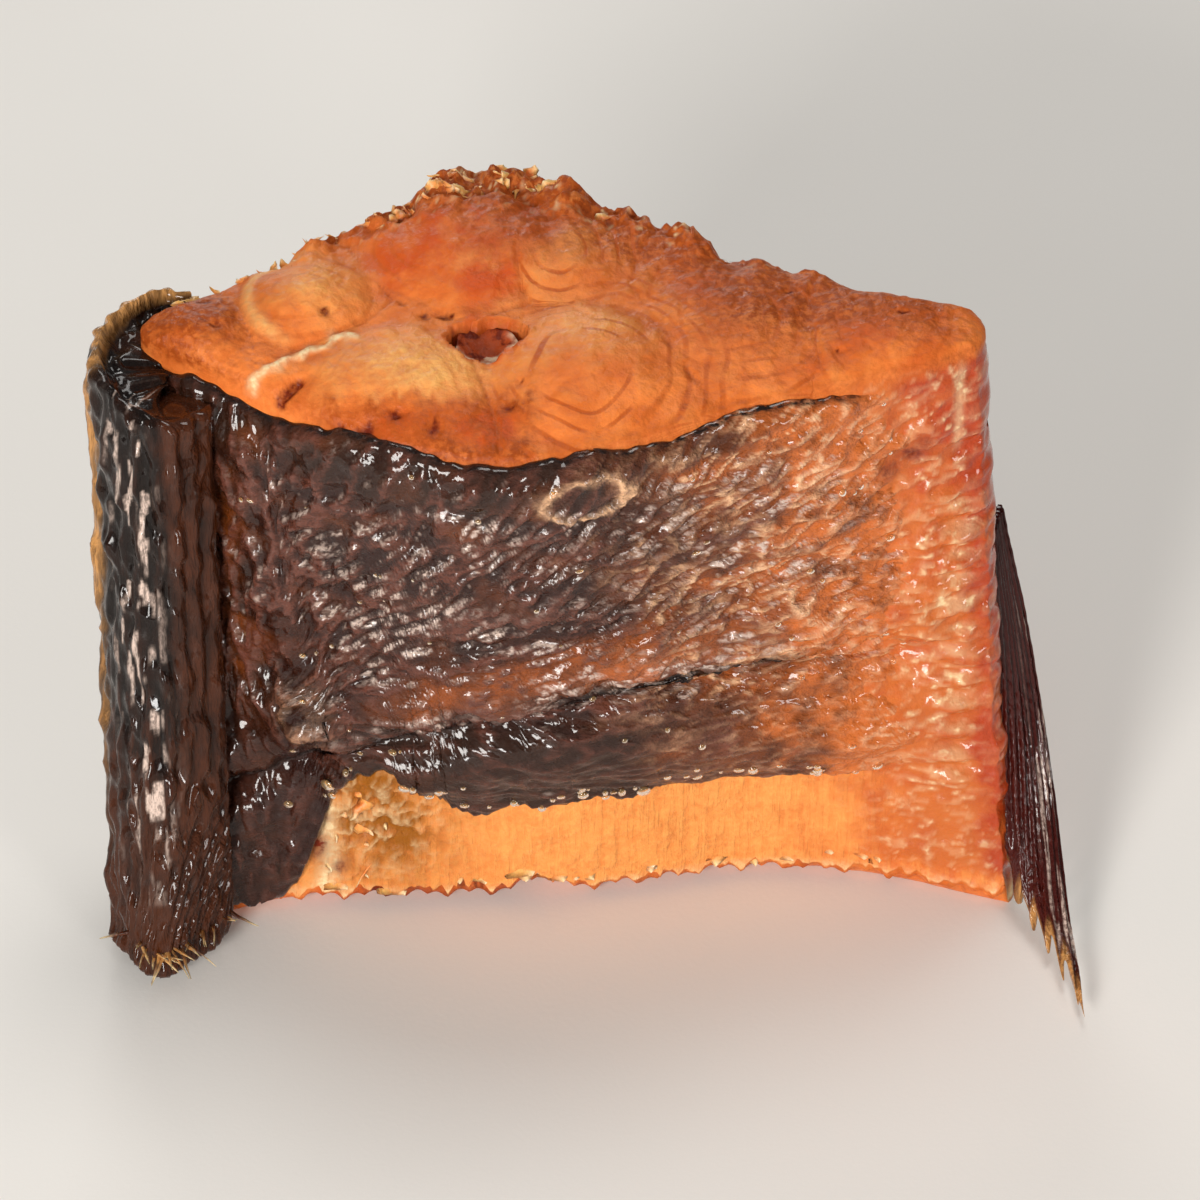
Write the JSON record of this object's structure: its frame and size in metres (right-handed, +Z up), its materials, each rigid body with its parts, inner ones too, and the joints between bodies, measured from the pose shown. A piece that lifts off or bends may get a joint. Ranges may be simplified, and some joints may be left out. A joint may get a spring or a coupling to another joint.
{
  "type": "smoked fish",
  "caption": "Chunk of smoked catfish standing on its tail-end cut: orange flesh in dark wrinkled skin, with the back fin folded round the back edge and the belly fin trailing.",
  "frame": {"origin": "under the middle of the bounding box, on the surface that the chunk stands on", "axes": "+X from the fish's back to its belly, -Y the flank that the picture shows, +Z up from the tail-end cut to the head-end cut"},
  "size_m": [0.11, 0.0626, 0.0784],
  "materials": {
    "flesh": "satin",
    "skin": "gloss",
    "back_fin": "gloss",
    "belly_fin": "gloss",
    "bone": "satin"
  },
  "bodies": {
    "root": {"flesh": "flesh", "skin": "skin", "back_fin": "back_fin", "belly_fin": "belly_fin", "backbone": "bone"}
  },
  "joints": []
}
